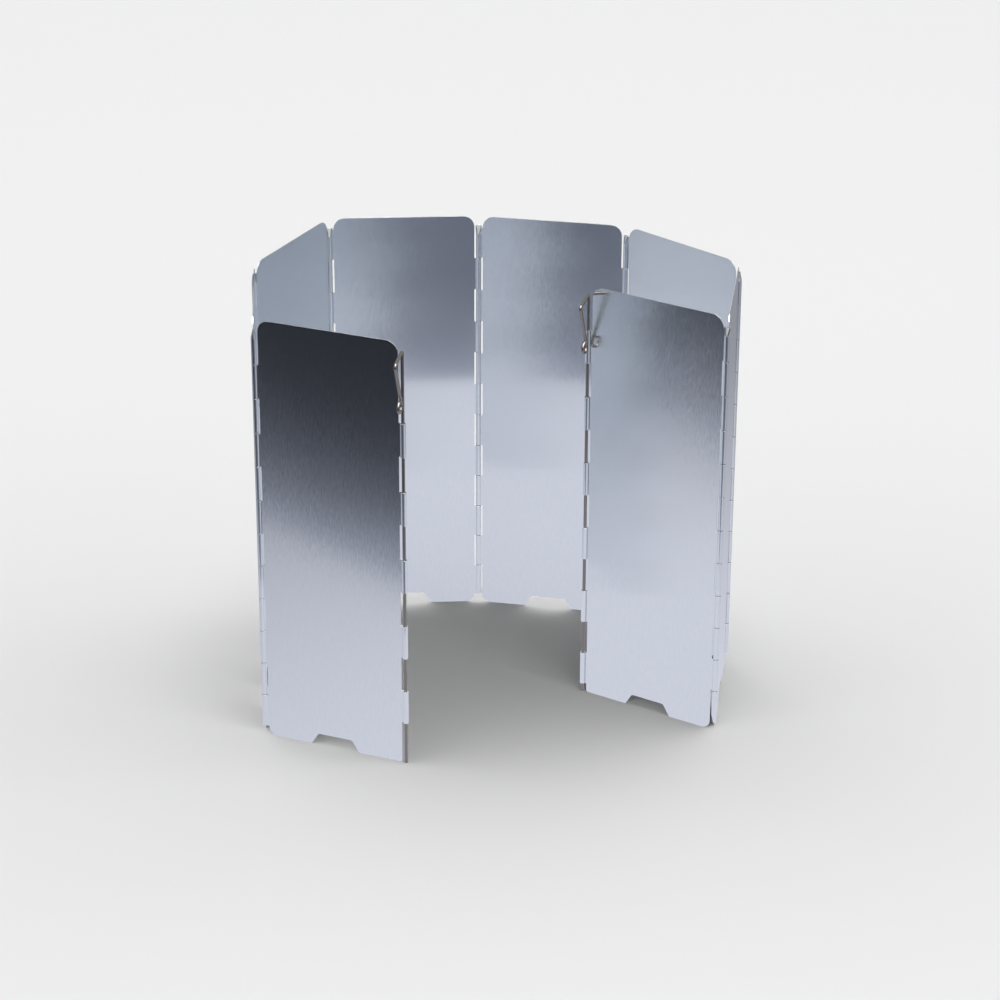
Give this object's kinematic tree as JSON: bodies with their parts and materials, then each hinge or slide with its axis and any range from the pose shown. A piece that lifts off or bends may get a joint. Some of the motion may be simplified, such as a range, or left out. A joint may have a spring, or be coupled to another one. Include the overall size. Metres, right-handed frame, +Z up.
{
  "type": "stove windscreen",
  "caption": "Folding aluminium windscreen of pinned plates that stands in a ring round a camping stove, with a sliding wire ground stake at each free edge.",
  "frame": {"origin": "middle of the ring's bounding box at the level of the surface it stands on", "axes": "+Z up; +Y from the open front of the ring towards the back plates; +X to the right seen from the front"},
  "size_m": [0.264, 0.214, 0.24],
  "materials": {
    "plate_aluminium": "brushed",
    "pin_steel": "drawn",
    "stake_steel": "drawn"
  },
  "bodies": {
    "plate_4_body": {"plate_4": "plate_aluminium", "hinge_pin_3": "pin_steel"},
    "plate_3_body": {"plate_3": "plate_aluminium", "hinge_pin_2": "pin_steel"},
    "plate_2_body": {"plate_2": "plate_aluminium", "hinge_pin_1": "pin_steel"},
    "plate_1_body": {"plate_1": "plate_aluminium"},
    "plate_5_body": {"plate_5": "plate_aluminium", "hinge_pin_4": "pin_steel"},
    "plate_6_body": {"plate_6": "plate_aluminium", "hinge_pin_5": "pin_steel"},
    "plate_7_body": {"plate_7": "plate_aluminium", "hinge_pin_6": "pin_steel"},
    "plate_8_body": {"plate_8": "plate_aluminium", "hinge_pin_7": "pin_steel"},
    "left_stake_body": {"left_stake": "stake_steel"},
    "right_stake_body": {"right_stake": "stake_steel"}
  },
  "joints": [
    {"name": "hinge_3_fold", "type": "hinge", "parent": "plate_4_body", "child": "plate_3_body", "pos_m": [-0.09505, 0.09925, 0], "axis": [0, 0, 1], "range_deg": [-60, 117]},
    {"name": "hinge_2_fold", "type": "hinge", "parent": "plate_3_body", "child": "plate_2_body", "pos_m": [-0.13055, 0.02312, 0], "axis": [0, 0, -1], "range_deg": [-106.16, 207]},
    {"name": "hinge_1_fold", "type": "hinge", "parent": "plate_2_body", "child": "plate_1_body", "pos_m": [-0.12396, -0.06062, 0], "axis": [0, 0, 1], "range_deg": [-220.5, 114.5]},
    {"name": "hinge_4_fold", "type": "hinge", "parent": "plate_4_body", "child": "plate_5_body", "pos_m": [-0.01131, 0.10584, 0], "axis": [0, 0, 1], "range_deg": [-40, 193]},
    {"name": "hinge_5_fold", "type": "hinge", "parent": "plate_5_body", "child": "plate_6_body", "pos_m": [0.07115, 0.08981, 0], "axis": [0, 0, -1], "range_deg": [-40, 143.5]},
    {"name": "hinge_6_fold", "type": "hinge", "parent": "plate_6_body", "child": "plate_7_body", "pos_m": [0.13055, 0.03041, 0], "axis": [0, 0, 1], "range_deg": [-64.11, 230]},
    {"name": "hinge_7_fold", "type": "hinge", "parent": "plate_7_body", "child": "plate_8_body", "pos_m": [0.11958, -0.05287, 0], "axis": [0, 0, -1], "range_deg": [-272.5, 62.5]},
    {"name": "left_stake_slide", "type": "slide", "parent": "plate_1_body", "child": "left_stake_body", "axis": [0, 0, 1], "range_m": [-0.037, 0]},
    {"name": "right_stake_slide", "type": "slide", "parent": "plate_8_body", "child": "right_stake_body", "axis": [0, 0, 1], "range_m": [-0.018, 0]}
  ],
  "couplings": [
    {"joint": "hinge_2_fold", "follows": "hinge_3_fold", "ratio": 1.7692},
    {"joint": "hinge_6_fold", "follows": "hinge_5_fold", "ratio": 1.6028}
  ]
}
